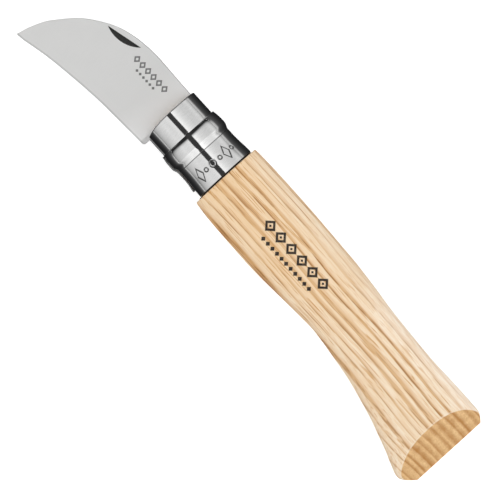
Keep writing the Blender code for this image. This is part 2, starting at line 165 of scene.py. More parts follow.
def smooth_rows(rows, places):
    """The rows of a table, read at any places by a cubic through its points."""
    table = np.array(rows, float)
    knots, values = table[:, 0], table[:, 1:]
    slopes = np.gradient(values, knots, axis=0)
    right = np.clip(np.searchsorted(knots, places, side="right"), 1, len(knots) - 1)
    left = right - 1
    span = (knots[right] - knots[left])[:, None]
    t = (places - knots[left])[:, None] / span
    return (
        (2 * t**3 - 3 * t**2 + 1) * values[left]
        + (t**3 - 2 * t**2 + t) * span * slopes[left]
        + (3 * t**2 - 2 * t**3) * values[right]
        + (t**3 - t**2) * span * slopes[right]
    )


def eased(values, low, high):
    """0 up to low and 1 from high, with t = the share of the way between and 3t^2 - 2t^3 there."""
    t = np.clip((values - low) / (high - low), 0, 1)
    return t**2 * (3 - 2 * t)


def joined_mesh(name, points, faces, smooth_angle, shade=None):
    """An object of these points, merged where they meet, with its faces turned outwards.

    Points left with only two edges, where faces have folded flat, are taken out.
    """
    mesh = bpy.data.meshes.new(name)
    mesh.from_pydata((points + RIVET).tolist(), [], faces)
    if shade is not None:
        mesh.attributes.new("shade", "FLOAT", "POINT").data.foreach_set("value", shade)
    build = bmesh.new()
    build.from_mesh(mesh)
    bmesh.ops.remove_doubles(build, verts=build.verts, dist=MERGE_DISTANCE)
    bmesh.ops.dissolve_degenerate(build, edges=build.edges, dist=MERGE_DISTANCE / 10)
    folded = [vertex for vertex in build.verts if len(vertex.link_edges) == 2]
    bmesh.ops.dissolve_verts(build, verts=folded)
    bmesh.ops.recalc_face_normals(build, faces=build.faces)
    build.to_mesh(mesh)
    build.free()
    mesh.shade_smooth()
    mesh.set_sharp_from_angle(angle=math.radians(smooth_angle))
    piece = bpy.data.objects.new(name, mesh)
    bpy.context.scene.collection.objects.link(piece)
    return piece


def grid_piece(name, grids, smooth_angle, closed_across=False, shades=None):
    """A piece of one or more grids of points, whose neighbours are joined by quads.

    Each grid is an array of rows, columns and XYZ. closed_across joins the last column to the
    first. shades holds one number for each point, kept as the mesh's shade attribute.
    """
    faces, first = [], 0
    for grid in grids:
        rows, columns = grid.shape[:2]
        index = first + np.arange(rows * columns).reshape(rows, columns)
        if closed_across:
            index = np.concatenate([index, index[:, :1]], axis=1)
        corners = (index[:-1, :-1], index[:-1, 1:], index[1:, 1:], index[1:, :-1])
        faces.append(np.stack(corners, axis=-1).reshape(-1, 4))
        first += rows * columns
    points = np.concatenate([grid.reshape(-1, 3) for grid in grids])
    shade = None if shades is None else np.concatenate([each.ravel() for each in shades])
    return joined_mesh(name, points, np.concatenate(faces).tolist(), smooth_angle, shade)


def prism(name, outline, low, high):
    """A closed block: an outline of (x, y) points, carried from one height to another."""
    flat = np.array(outline)
    count = len(flat)
    points = np.concatenate([np.column_stack([flat, np.full(count, z)]) for z in (low, high)])
    walls = [(i, (i + 1) % count, count + (i + 1) % count, count + i) for i in range(count)]
    caps = [tuple(range(count)), tuple(range(count, 2 * count))]
    return joined_mesh(name, points, walls + caps, CREASE)


def cut(piece, tool, smooth_angle):
    """Takes the tool's shape out of the piece for good. The cut keeps the tool's material."""
    modifier = piece.modifiers.new(tool.name, "BOOLEAN")
    modifier.operation = "DIFFERENCE"
    modifier.solver = "EXACT"
    modifier.material_mode = "TRANSFER"
    modifier.object = tool
    graph = bpy.context.evaluated_depsgraph_get()
    mesh = bpy.data.meshes.new_from_object(piece.evaluated_get(graph), depsgraph=graph)
    piece.modifiers.clear()
    whole = piece.data
    piece.data = mesh
    bpy.data.meshes.remove(whole)
    bpy.data.objects.remove(tool)
    mesh.name = piece.name
    mesh.shade_smooth()
    mesh.set_sharp_from_angle(angle=math.radians(smooth_angle))


class Link:
    """A socket of a node tree. Arithmetic on it adds Math nodes, and node() adds any other node."""

    def __init__(self, tree, socket=None):
        self.tree = tree
        self.socket = socket

    def node(self, kind, settings, sockets, output=0):
        """Adds a node, makes its settings, then its sockets, and gives one of its outputs."""
        made = self.tree.nodes.new(kind)
        for name, value in settings.items():
            if name == "stops":
                set_stops(made.color_ramp, value)
            else:
                setattr(made, name, value)
        for name, value in sockets.items():
            if isinstance(value, Link):
                self.tree.links.new(value.socket, made.inputs[name])
            else:
                made.inputs[name].default_value = value
        return Link(self.tree, made.outputs[output])

    def math(self, operation, *values):
        return self.node("ShaderNodeMath", {"operation": operation}, dict(enumerate(values)))

    def __add__(self, other):
        return self.math("ADD", self, other)

    __radd__ = __add__

    def __sub__(self, other):
        return self.math("SUBTRACT", self, other)

    def __rsub__(self, other):
        return self.math("SUBTRACT", other, self)

    def __mul__(self, other):
        return self.math("MULTIPLY", self, other)

    __rmul__ = __mul__

    def __neg__(self):
        return 0 - self

    def __truediv__(self, other):
        return self.math("DIVIDE", self, other)

    def __pow__(self, other):
        return self.math("POWER", self, other)

    def size(self):
        return self.math("ABSOLUTE", self)

    def fraction(self):
        return self.math("FRACT", self)

    def whole(self):
        return self.math("FLOOR", self)

    def most(self, other):
        return self.math("MAXIMUM", self, other)

    def rise(self, low, high):
        """0 at low and 1 at high, with a smooth rise between."""
        ranges = {"Value": self, "From Min": low, "From Max": high}
        return self.node("ShaderNodeMapRange", {"interpolation_type": "SMOOTHSTEP"}, ranges)

    def band(self, low, high, soft):
        """1 between two values and 0 outside them, with soft borders."""
        return self.rise(low - soft, low + soft) * (1 - self.rise(high - soft, high + soft))

    def parts(self):
        """The X, Y and Z of a vector."""
        split = self.node("ShaderNodeSeparateXYZ", {}, {0: self}).socket.node
        return [Link(self.tree, output) for output in split.outputs]

    def scaled(self, *factors):
        """A vector times one factor for each axis."""
        return self.node("ShaderNodeVectorMath", {"operation": "MULTIPLY"}, {0: self, 1: factors})

    def noise(self, detail=2.0, roughness=0.5):
        """Smooth noise about 0.5, with features about one unit across."""
        sockets = {"Vector": self, "Scale": 1.0, "Detail": detail, "Roughness": roughness}
        return self.node("ShaderNodeTexNoise", {}, sockets)

    def chance(self):
        """A random value from 0 to 1 for each whole number."""
        return self.node("ShaderNodeTexWhiteNoise", {"noise_dimensions": "1D"}, {"W": self})

    def mix(self, first, second):
        """From the first colour at 0 to the second at 1. A colour is a link or three numbers."""
        colours = [c if isinstance(c, Link) else (*c, 1) for c in (first, second)]
        sockets = {"Factor": self, 6: colours[0], 7: colours[1]}
        return self.node("ShaderNodeMix", {"data_type": "RGBA"}, sockets, 2)


def set_stops(ramp, stops):
    """Sets a ramp's stops from rows of (place, colour), in order."""
    while len(ramp.elements) < len(stops):
        ramp.elements.new(1.0)
    for element, (place, colour) in zip(ramp.elements, stops):
        element.position = place
        element.color = (*colour, 1)


def new_material(name, **fixed):
    """A material with its constant values, its shader, and places in millimetres from the rivet."""
    material = bpy.data.materials.new(name)
    material.use_nodes = True
    shader = material.node_tree.nodes["Principled BSDF"]
    for socket, value in fixed.items():
        shader.inputs[socket.replace("_", " ")].default_value = value
    start = Link(material.node_tree)
    place = start.node("ShaderNodeTexCoord", {}, {}, 3)
    sockets = {0: place, 1: (1 / MM,) * 3, 2: tuple(-RIVET / MM)}
    from_rivet = start.node("ShaderNodeVectorMath", {"operation": "MULTIPLY_ADD"}, sockets)
    return material, shader, from_rivet


def feed(shader, **links):
    """Links values to the shader's sockets. Bump takes a height in millimetres."""
    for name, link in links.items():
        if name == "Bump":
            link = link.node("ShaderNodeBump", {}, {"Height": link, "Distance": MM})
            name = "Normal"
        link.tree.links.new(link.socket, shader.inputs[name.replace("_", " ")])


def growth_rings(place):
    """How far a point of the wood lies from the pith, in growth rings.

    The rings are round a pith far off on the belly side. They sway slowly along the grain, waver a
    little, and are not all of one width.
    """
    _, y, z = place.parts()
    sway = place.scaled(0.018, 0.02, 0.01).noise(1.0) * GROWTH_SWAY
    waver = place.scaled(0.05, 0.25, 0.08).noise(2.0) * GROWTH_WAVER
    across = ((y - PITH[0]) ** 2 + (z - PITH[1]) ** 2) ** 0.5 + sway + waver
    sockets = {"W": across * 0.4, "Scale": 1.0}
    uneven = across.node("ShaderNodeTexNoise", {"noise_dimensions": "1D"}, sockets)
    return across / GROWTH_WIDTH + uneven * GROWTH_VARIES


def ash_side(place, rings):
    """The long grain: a tan band of open early wood in each ring, with fine broken brown pores.

    Tan hairs run between the bands, and every streak has a honey fringe. The ground is cleaner along
    the spine and at the tail's belly. Over its own lighter patches it grows lighter towards the spine
    and the butt, painted light, and turns white along the spine at the tail, a painted sheen.
    """
    x, y, _ = place.parts()
    phase = rings.fraction()
    clean = y.rise(*CLEAN_SPINE) * (0.35 + 0.40 * x.rise(*CLEANER_BEHIND))
    clean = clean + 0.35 * x.rise(*CLEAN_TAIL) * (1 - y.rise(*TAIL_MIDDLE))
    strength = (0.65 + 0.35 * rings.whole().chance()) * (1 - clean)
    band = (1 - phase.rise(0.05, 0.62)) * phase.rise(0.0, 0.05)
    streak = place.scaled(0.045, 1.5, 1.5).noise(3.0, 0.6).rise(0.34, 0.62)
    fibre = place.scaled(0.16, 3.0, 3.0).noise(4.0, 0.75)
    patch = place.scaled(0.03, 0.16, 0.16).noise(1.0).rise(0.3, 0.7)
    # The ground grows lighter towards the spine and the butt: painted light over the wood's own patches
    pale = (0.010 * x + 0.02 * y + 0.40 * patch + 0.13).most(0.0)
    ground = pale.mix(HONEY_ASH, CREAM_ASH)
    # White along the spine at the tail: a painted sheen
    ground = (x.rise(*SHEEN_TAIL) * y.rise(*SHEEN_SPINE)).mix(ground, SHEEN_WHITE_ASH)
    hairs = place.scaled(0.08, 2.6, 2.6).noise(2.0, 0.6).rise(0.57, 0.64) * (0.45 + 0.55 * streak)
    dashes = place.scaled(0.09, 2.2, 2.2).noise(3.0, 0.55)
    pores = dashes.rise(0.49, 0.54) * (1 - phase.rise(0.12, 0.30)) * phase.rise(0.0, 0.04) * strength
    tan = (band * strength * (0.55 + 0.45 * streak)).most(hairs * (1 - clean)).most(pores)
    fringe = tan.rise(0.0, 0.5) * 0.75
    grained = (fibre.rise(0.42, 0.60) * 0.6).most(fringe).mix(ground, HONEY_ASH)
    banded = (tan * 0.9).mix(grained, BAND_TAN)
    return (pores * 0.8).mix(banded, PORE_BROWN), pores, fibre


def ash_end(place, rings):
    """The end grain on the bevels: the same rings cut across, with rows of round pores."""
    phase = rings.fraction()
    strength = 0.55 + 0.45 * rings.whole().chance()
    band = (1 - phase.rise(0.25, 0.95)) * phase.rise(0.0, 0.35) * strength
    blotch = place.scaled(0.35, 0.55, 0.55).noise(2.0)
    toned = (band * 0.95 + blotch * 0.9 - 0.30).mix(END_PALE, END_BROWN)
    speck = place.scaled(2.2, 2.6, 2.6).noise(2.0, 0.75).rise(0.42, 0.66)
    return (speck * (0.35 + 0.25 * band)).mix(toned, END_BROWN)


def lozenges(x, y, row, outline, inside=-1.0):
    """A row of lozenges: 1 where the share of the way out to each rim is between inside and outline."""
    start, end, count, middle, tall = row
    along = (((x - start) / ((end - start) / count)).fraction() - 0.5).size() / LOZENGE_REACH
    out = along + (y - middle).size() / (tall / 2)
    return out.band(inside, outline, 0.05) * x.band(start, end, 0.01)


ash, shader, place = new_material("pale_ash", IOR=1.45)
rings = growth_rings(place)
side_grain, pores, fibre = ash_side(place, rings)
x, y, z = place.parts()
from_bevel = (BUTT_END + BUTT_RIDGE / 2) / MM - x - z.size()
is_end = 1 - from_bevel.rise(*END_GRAIN_BORDER)
# A painted highlight along the rim between the bevels' end grain and the long grain
rim_highlight_paint = from_bevel.band(*RIM_PAINTED_HIGHLIGHT, 0.06) * 0.4
wood = rim_highlight_paint.mix(is_end.mix(side_grain, ash_end(place, rings)), CREAM_ASH)
border = lozenges(x, y, BORDER, 1.0, 0.52) + lozenges(x, y, BORDER, 0.22)
burn = (border + lozenges(x, y, TICKS, 0.85)) * z.rise(0.0, 1.0)
burn = burn * (0.92 + 0.08 * place.scaled(1.5, 6.0, 6.0).noise(2.0).rise(0.3, 0.6))
printed = burn.mix(wood, BURNT)
# The neck is painted near black from just behind its front face to the shoulder: a painted shade where it
# lies in the gaps by the collar and the ring
behind_face = x.rise(NECK_FRONT / MM + 0.05, NECK_FRONT / MM + 0.3)
neck_shade_mask = behind_face * (1 - x.rise(SHOULDER / MM - 0.05, SHOULDER / MM + 0.12))
feed(
    shader,
    Base_Color=neck_shade_mask.mix(printed, NECK_PAINTED_SHADE),
    Roughness=0.42 + 0.16 * fibre + 0.15 * is_end,
    Bump=-0.012 * pores - 0.006 * fibre - 0.03 * burn,
)
saw_cut, shader, place = new_material("sawn_ash", Roughness=0.75)
tooth = place.scaled(1.2, 0.4, 1.0).noise(3.0, 0.7)
feed(shader, Base_Color=tooth.mix(SAW_CUT_BROWN, BAND_TAN), Bump=0.03 * tooth)


def handle_sections():
    """Along the handle: place, top, bottom, half width and superellipse power of each section.

    The neck is round, with a bevelled front rim and a low step before the shoulder. The shoulder's
    edge is a quarter circle, and the grip behind it follows the table of shares.
    """
    share = np.array(NECK_SHARES)
    radius = NECK_RADIUS - (NECK_RADIUS - NECK_WAIST_RADIUS) * eased(share, *NECK_NARROWS)
    radius[0] -= SHOULDER_ROUND
    radius[-2:] = STEP_RADIUS
    neck = [NECK_FRONT + share * (SHOULDER - NECK_FRONT), radius, -radius, radius, 0 * radius]
    turn = np.linspace(0, math.pi / 2, SHOULDER_ROWS)
    behind = np.concatenate([np.linspace(0.005, 0.9, GRIP_ROWS), np.linspace(0.9, 1, BUTT_ROWS)[1:]])
    share = np.concatenate([0 * turn, behind])
    inset = np.concatenate([SHOULDER_ROUND * (1 - np.sin(turn)), 0 * behind])
    ahead = np.concatenate([SHOULDER_ROUND * (1 - np.cos(turn)), 0 * behind])
    spine, belly, tail, width = smooth_rows(HANDLE_SHARES, share).T
    top = spine * SPINE_RISE - inset
    bottom = inset - belly * BELLY_DEPTH - tail * FISHTAIL_DROP
    grip = [SHOULDER + share * HANDLE_LENGTH + ahead, top, bottom, width * HALF_WIDTH - inset, share]
    x, top, bottom, half_width, share = np.concatenate([neck, grip], axis=1)
    return x, top, bottom, half_width, SHOULDER_POWER + share * (BUTT_POWER - SHOULDER_POWER)


def handle_surface():
    """Superellipses across the handle, each limited in width by the butt's two bevel planes.

    y = middle + height cos^(2/p) and z = width sin^(2/p). The bevels lie at 45 degrees, so z stays
    under half the ridge plus the distance left to the butt's end, with a rounded edge between.
    """
    x, top, bottom, half_width, power = (each[:, None] for each in handle_sections())
    turn = np.linspace(0, 2 * math.pi, HANDLE_TURNS, endpoint=False)[None, :]
    tall = np.sign(np.cos(turn)) * np.abs(np.cos(turn)) ** (2 / power)
    wide = half_width * np.abs(np.sin(turn)) ** (2 / power)
    bevel = BUTT_RIDGE / 2 + BUTT_END - x
    blend = np.clip(0.5 + 0.5 * (bevel - wide) / BUTT_EDGE_ROUND, 0, 1)
    limited = bevel * (1 - blend) + wide * blend - BUTT_EDGE_ROUND * blend * (1 - blend)
    z = np.sign(np.sin(turn)) * np.maximum(limited, 0)
    y = (top + bottom) / 2 + (top - bottom) / 2 * tall
    rows = np.stack(np.broadcast_arrays(x, y, z), axis=-1)
    return np.concatenate([rows[:1] * (1, 0, 0), rows, rows[-1:] * (1, 1, 0)])


def pin_drill():
    """The drill for the rivet's hole, long enough for every piece."""
    turn = np.linspace(0, 2 * math.pi, HOLE_POINTS, endpoint=False)
    circle = np.column_stack([np.cos(turn), np.sin(turn)]) * PIN_HOLE_RADIUS
    return prism("pin_drill", circle, -HALF_WIDTH, HALF_WIDTH)


handle = grid_piece("ash_handle", [handle_surface()], CREASE, closed_across=True)
handle.data.materials.append(ash)
slot_low, slot_high = math.asin(SLOT_BELOW / SLOT_REACH), math.asin(SLOT_END_FLOOR / SLOT_REACH)
sweep = np.linspace(slot_low, slot_high, SLOT_POINTS)
slot_outline = [(SLOT_REACH * math.cos(a), SLOT_REACH * math.sin(a)) for a in sweep]
slot_outline += [(SHOULDER, SLOT_FRONT_FLOOR), (SLOT_FRONT, SLOT_FRONT_FLOOR), (SLOT_FRONT, SLOT_BELOW)]
for tool in (prism("saw_blade", slot_outline, -SLOT_HALF_WIDTH, SLOT_HALF_WIDTH), pin_drill()):
    tool.data.materials.append(saw_cut)
    cut(handle, tool, CREASE)
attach(handle, "handle")
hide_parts("handle")


# The fixed collar
# A ferrule rolled from 0.5 mm stainless sheet, pushed over the neck and held by the rivet. It is
# open along the belly, where the blade passes, drawn in at the waist under the lock ring and
# flared at the rear. It is polished bright.

COLLAR_FRONT = -0.0106
COLLAR_LENGTH = 0.0190
COLLAR_RADIUS = 0.0075
COLLAR_WAIST_DROP = 0.0005
COLLAR_REAR_FLARE = 0.00035
COLLAR_HALF_SLOT = 0.00115
COLLAR_SCOOP = 0.0012
SCOOP_POWER = 1.7
COLLAR_ROWS = 120
COLLAR_COLUMNS = 240
SHEET = 0.0005
SHEET_CREASE = 50
RIM_ROWS = 7
GROOVE_DEPTH = 0.00009
FINE_SCRATCHES = ((0.76, 0.76, 0.755), (0.82, 0.82, 0.815))
# The grey painted into the engraving and onto the slot's cut edges: a painted shade
GROOVE_PAINTED_SHADE = (0.05, 0.05, 0.05)

# Shares of the collar's length between which it narrows to its waist and flares at the rear
COLLAR_NARROWS = (0.515, 0.605)
COLLAR_FLARES = (0.70, 1.0)

# The share of a sleeve's length over which its rims are drawn in where they step back
STEP_BACK_SHARE = 0.30


def collar_radius(x):
    """The collar's outer radius: straight at the front, drawn in at the waist, flared at the rear."""
    share = (x - COLLAR_FRONT) / COLLAR_LENGTH
    waist = COLLAR_WAIST_DROP * eased(share, *COLLAR_NARROWS)
    return COLLAR_RADIUS - waist + COLLAR_REAR_FLARE * eased(share, *COLLAR_FLARES)


def quarter_round(distance, radius):
    """A quarter circle's height: sqrt(1 - (1 - distance / radius)^2), and 1 past the radius."""
    return np.sqrt(1 - np.clip(1 - distance / radius, 0, 1) ** 2)


def rim_places(length, count, *crowds):
    """Shares of a length from 0 to 1, close together where its ends are rounded over.

    Each crowd is a stretch (start, end, count) with more places of its own.
    """
    rim = SHEET / 2 / length
    bend = rim * (1 - np.cos(np.linspace(0, math.pi / 2, RIM_ROWS)[:-1]))
    places = [bend, np.linspace(rim, 1 - rim, count), 1 - bend]
    return np.unique(np.concatenate(places + [np.linspace(*crowd) for crowd in crowds]))


def no_shift(angle):
    """The shift of a rim that is cut straight."""
    return 0 * angle


def rolled_sheet(name, stretch, angles, u, v, radius_at, shifts, lip=0, edge_painted_shade=0, engraving=None):
    """A sleeve of rolled sheet: an outer and an inner skin over one middle surface.

    The middle surface is a turned profile: x runs over the stretch (front, length) by the shares u,
    and the angle, measured from the belly towards +Z, by the shares v. Near every border the half
    thickness is that of a circle, so that the skins meet in a rounded rim. A lip curves the outer
    skin in over that length at the front. The shifts draw the front and rear rims in along X at an
    angle. The edge value is how dark the cut edges along the slot are painted, a painted shade, and
    engraving gives the depth cut into the outer skin at x and arc length from the top. The shade
    attribute holds that edge value and the engraving's share of its depth, which the material paints
    as shade.
    """
    front, length = stretch
    angle = (angles[0] + v * (angles[1] - angles[0]))[None, :]
    straight = front + (u * length)[:, None]
    arc = (angles[1] - angles[0]) * radius_at(front)
    x = straight + shifts[0](angle) * np.clip(1 - u[:, None] / STEP_BACK_SHARE, 0, 1)
    x = x - shifts[1](angle) * np.clip(1 - (1 - u[:, None]) / STEP_BACK_SHARE, 0, 1)
    to_side = np.minimum(v, 1 - v)[None, :] * arc
    to_rear = (1 - u)[:, None] * length
    to_front = u[:, None] * length
    other = SHEET / 2 * quarter_round(np.minimum(to_side, to_rear), SHEET / 2)
    half = np.minimum(other, SHEET / 2 * quarter_round(to_front, SHEET / 2))
    outer = half
    if lip:
        outer = (half + other) * quarter_round(to_front, lip) - half
    depth = np.zeros_like(half)
    if engraving:
        from_top = (angle - math.pi / 2) * radius_at(front)
        depth = engraving(straight, from_top) * np.clip(to_side / SHEET, 0, 1)
    slope = np.gradient(radius_at(straight[:, 0]), straight[:, 0])[:, None]
    level = np.sqrt(1 + slope**2)
    skins = []
    for out in ((outer - depth) / level, -half / level):
        radius = radius_at(straight) - SHEET / 2 + out
        skin = (x - out * slope, -radius * np.cos(angle), radius * np.sin(angle))
        skins.append(np.stack(np.broadcast_arrays(*skin), axis=-1))
    # The slot's cut edges are painted dark up to this share: a painted shade
    edge_shade_share = np.clip(2 * edge_painted_shade - to_side / (SHEET / 2), 0, edge_painted_shade)
    edge_shade_share = np.broadcast_to(edge_shade_share, depth.shape)
    shades = (np.maximum(np.clip(depth / GROOVE_DEPTH, 0, 1), edge_shade_share), edge_shade_share)
    return grid_piece(name, skins, SHEET_CREASE, shades=shades)


def scoop(angle):
    """How far the collar's front rim steps back: most at the belly, nothing past mid-height."""
    from_belly = np.minimum(angle, 2 * math.pi - angle)
    return COLLAR_SCOOP * np.clip(1 - from_belly / (math.pi / 2), 0, 1) ** SCOOP_POWER


def polished_steel(name):
    """Polished stainless steel with faint scratches round the sleeve, and painted shade in its engraving.
    """
    material, shader, place = new_material(name, Metallic=1.0)
    smudge = place.scaled(0.4, 0.4, 0.4).noise(2.0)
    scratch = place.scaled(9.0, 0.8, 0.8).noise(3.0, 0.7)
    # The shade attribute carries the painted shade of the engraving and of the slot's cut edges
    groove_and_edge_shade = place.node("ShaderNodeAttribute", {"attribute_name": "shade"}, {}, 2)
    tone = scratch.rise(0.35, 0.65).mix(*FINE_SCRATCHES)
    feed(
        shader,
        Base_Color=(groove_and_edge_shade * 0.9).mix(tone, GROOVE_PAINTED_SHADE),
        Roughness=0.045 + 0.05 * smudge + 0.45 * groove_and_edge_shade,
        Bump=0.0006 * scratch,
    )
    return material


half_slot = math.asin(COLLAR_HALF_SLOT / COLLAR_RADIUS)
collar = rolled_sheet(
    "polished_collar",
    (COLLAR_FRONT, COLLAR_LENGTH),
    (half_slot, 2 * math.pi - half_slot),
    rim_places(COLLAR_LENGTH, COLLAR_ROWS),
    rim_places(2 * math.pi * COLLAR_RADIUS, COLLAR_COLUMNS),
    collar_radius,
    (scoop, no_shift),
)
collar.data.materials.append(polished_steel("polished_collar_steel"))
cut(collar, pin_drill(), SHEET_CREASE)
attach(collar, "handle")
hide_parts("fixed_collar")


# The lock ring
# A second rolled sleeve of stainless sheet over the collar, with a bulge at the front to turn it by,
# a waist and a square notch at its rear corner. Turned, it closes the slot over the blade's tang.
# Its slot's cut edges carry a painted shade, and a plain row of outlined lozenges and rings is
# engraved in it, with a painted shade in the grooves.

RING_FRONT = -0.0043
RING_LENGTH = 0.01275
RING_GAP = 0.00025
RING_RADIUS = COLLAR_RADIUS + RING_GAP + SHEET
RING_UPPER_EDGE = 0.00295
RING_LOWER_EDGE = 0.0011
RING_LIP = 0.0031
# How dark the slot's cut edges are painted: a painted shade
SLOT_EDGE_PAINTED_SHADE = 0.7

# The notch's length along the ring and its width round it, and the width of its steep side
NOTCH_LENGTH = 0.0020
NOTCH_WIDTH = 0.0024
NOTCH_SLOPE = 0.0003

GROOVE_WIDTH = 0.00036
WAIST_LINE = 0.00105
WAIST_LINE_SHARE = 0.45
MARKS_X = 0.0047

# Arc length from the top towards the spine, length and width. A mark as long as it is wide is a ring
MARKS = (
    (-0.0046, 0.0036, 0.0019),
    (-0.0025, 0.00095, 0.00095),
    (-0.0003, 0.0016, 0.0016),
    (0.0020, 0.00095, 0.00095),
    (0.0042, 0.0036, 0.0019),
    (0.0063, 0.00095, 0.00095),
)
MARKS_ARC = (-0.0058, 0.0072)

# Points along and round the ring, and where they stand closer: at its lip, its waist line and its
# marks, as shares of its length, and round it at its marks and its notch
RING_ROWS = 56
RING_COLUMNS = 90
CLOSER_ALONG = ((0.0, 0.18, 16), (0.415, 0.44, 6), (0.56, 0.88, 52))
MARKS_COLUMNS = 150
NOTCH_COLUMNS = 8


def ring_radius(x):
    """The ring's outer radius: the collar's, with the gap and the ring's own sheet over it."""
    return collar_radius(x) + RING_GAP + SHEET


def engraved_marks(x, arc):
    """The depth of V-shaped grooves: the waist line and the outlines of lozenges and circles."""
    x, arc = np.broadcast_arrays(x, arc)
    waist_line = np.clip(1 - np.abs(x - WAIST_LINE) / (GROOVE_WIDTH / 3), 0, 1)
    depth = WAIST_LINE_SHARE * GROOVE_DEPTH * waist_line
    for centre, length, width in MARKS:
        along, across = x - MARKS_X, arc - centre
        if length > width:
            out = np.abs(along) / (length / 2) + np.abs(across) / (width / 2)
            away = np.abs(out - 1) * length * width / 2 / math.hypot(length, width)
        else:
            away = np.abs(np.hypot(along, across) - width / 2)
        depth = np.maximum(depth, GROOVE_DEPTH * np.clip(1 - away / (GROOVE_WIDTH / 2), 0, 1))
    return depth


ring_edges = (
    math.asin(RING_UPPER_EDGE / RING_RADIUS),
    2 * math.pi - math.asin(RING_LOWER_EDGE / RING_RADIUS),
)
ring_arc = (ring_edges[1] - ring_edges[0]) * RING_RADIUS
top_share = (math.pi / 2 - ring_edges[0]) / (ring_edges[1] - ring_edges[0])
at_marks = [top_share + arc / ring_arc for arc in MARKS_ARC]
at_notch = [1 - arc / ring_arc for arc in (NOTCH_WIDTH, NOTCH_WIDTH - NOTCH_SLOPE)]


def notch(angle):
    """The notch in the ring's lower edge at the rear, with a steep side."""
    from_edge = (ring_edges[1] - angle) * RING_RADIUS
    return NOTCH_LENGTH * np.clip((NOTCH_WIDTH - from_edge) / NOTCH_SLOPE, 0, 1)


lock_ring = rolled_sheet(
    "polished_lock_ring",
    (RING_FRONT, RING_LENGTH),
    ring_edges,
    rim_places(RING_LENGTH, RING_ROWS, *CLOSER_ALONG),
    rim_places(ring_arc, RING_COLUMNS, (*at_marks, MARKS_COLUMNS), (*at_notch, NOTCH_COLUMNS)),
    ring_radius,
    (no_shift, notch),
    RING_LIP,
    SLOT_EDGE_PAINTED_SHADE,
    engraved_marks,
)
lock_ring.data.materials.append(polished_steel("polished_ring_steel"))
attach(lock_ring, "locking_ring")
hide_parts("locking_ring")


# The blade
# A hooked blade of 1.5 mm stainless steel, ground flat from its back to its edge and satin
# finished, with a nail nick stamped into its upper side. Its tang turns on the rivet, and a plain
# row of lozenges is etched where such a blade is marked.

BLADE_REACH = 0.0480
BLADE_LENGTH = BLADE_REACH + COLLAR_FRONT
BLADE_HEIGHT = 0.02065
BLADE_HUMP = 0.00024
HALF_BLADE = 0.00075
HALF_EDGE = 0.00005
TANG_GAP = 0.0002
TANG_END_RADIUS = 0.0046
TANG_END_ANGLES = (50, 36, 22, 7)
TANG_DROP_SHARE = 0.2
HEEL_LENGTH = 0.0014
HEEL_ROUND = 0.0008
HEEL_POINTS = 8
FOLD_ANGLE = math.radians(168)
BACK_ROUND = 0.00022
BACK_ROUND_MOST = 0.6
CUTTING_BEVEL = 0.0005
CUTTING_BEVEL_HALF = 0.00011
BLADE_CREASE = 30

# Rows of points along the blade, crowded by this power towards the tip, and along the tang
BLADE_ROWS = 260
TIP_POWER = 1.6
TANG_ROWS = 90
TANG_BLUNT_ROWS = 12

# Points across the blade between two shares of its height, and closer ones beyond them
ACROSS_POINTS = 50
ACROSS_EVEN = (0.05, 0.96)
BORDER_POINTS = 9
BORDER_POWER = 1.5

# The even points that the blade's lines are drawn with, how many of them each is smoothed over, and
# how many past this stretch near the tip
LINE_POINTS = 500
SMOOTHING = 40
TIP_SMOOTHING = 6
NEAR_TIP = (0.86, 0.94)

# How dark the cutting bevel and, at the least, the back are painted, a painted dark reflection along
# both that darkens on the back over this stretch, and how steeply both fade out
BEVEL_SHADE = 0.45
BACK_SHADE = 0.15
BACK_DARKENS = (-0.034, -0.027)
BEVEL_FADE = 1.6
BACK_FADE = 1.5

NICK_LENGTH = 0.0092
NICK_WIDTH = 0.0014
NICK_DEPTH = 0.0004
NICK_STEP = 0.00005
NICK_SLANT = math.radians(14)
NICK_COLUMNS = 60
SATIN = ((0.81, 0.81, 0.80), (0.88, 0.88, 0.87))
# The satin's painted light next to the collar
SATIN_PAINTED_LIGHT = (0.98, 0.98, 0.975)
# The grey of the painted dark reflection along the cutting bevel and the back
EDGE_REFLECTION_GREY = (0.16, 0.16, 0.158)
ETCH_GREY = (0.09, 0.088, 0.085)
# The greys painted into the nail nick: a painted shade
NICK_SHADE_GREYS = ((0.03, 0.03, 0.03), (0.07, 0.07, 0.068))

# From here to the collar the satin is painted brighter, a painted light against the collar's shade
# on the blade, in millimetres
PAINTED_LIGHT_FROM = -19.0

# Rows of etched lozenges: start, end, number, place across the blade, and height
ETCHED_ROW = (-25.9, -14.7, 6, 3.05, 2.0)
DOTTED_ROW = (-23.6, -17.0, 6, 1.25, 1.0)

# Along the blade from the collar's rim to the tip: place, and height above the tip
BACK_SHARES = (
    (0.00, 0.988),
    (0.10, 0.991),
    (0.20, 0.996),
    (0.31, 1.000),
    (0.41, 0.987),
    (0.52, 0.950),
    (0.63, 0.879),
    (0.73, 0.763),
    (0.79, 0.682),
    (0.84, 0.586),
    (0.89, 0.463),
    (0.92, 0.391),
    (0.947, 0.300),
    (0.973, 0.184),
    (0.990, 0.085),
    (1.00, 0.000),
)
EDGE_SHARES = (
    (0.00, 0.214),
    (0.15, 0.201),
    (0.36, 0.180),
    (0.57, 0.137),
    (0.79, 0.0755),
    (0.89, 0.035),
    (0.947, 0.011),
    (1.00, 0.000),
)

# Where the nick lies, as shares of the blade's length and height
NICK_SHARES = (0.539, 0.872)


def reach_inside(radius):
    """How far the blade may reach towards a round wall of this radius, in its middle plane."""
    return math.sqrt((radius - TANG_GAP) ** 2 - HALF_BLADE**2)


SEAT_Y = reach_inside(COLLAR_RADIUS - SHEET)
TIP_Y = SEAT_Y + BLADE_HUMP - BLADE_HEIGHT


def open_place(x, y):
    """Where a point of the closed blade lies when the blade is open."""
    cosine, sine = math.cos(FOLD_ANGLE), math.sin(FOLD_ANGLE)
    return (x * cosine + y * sine, y * cosine - x * sine)


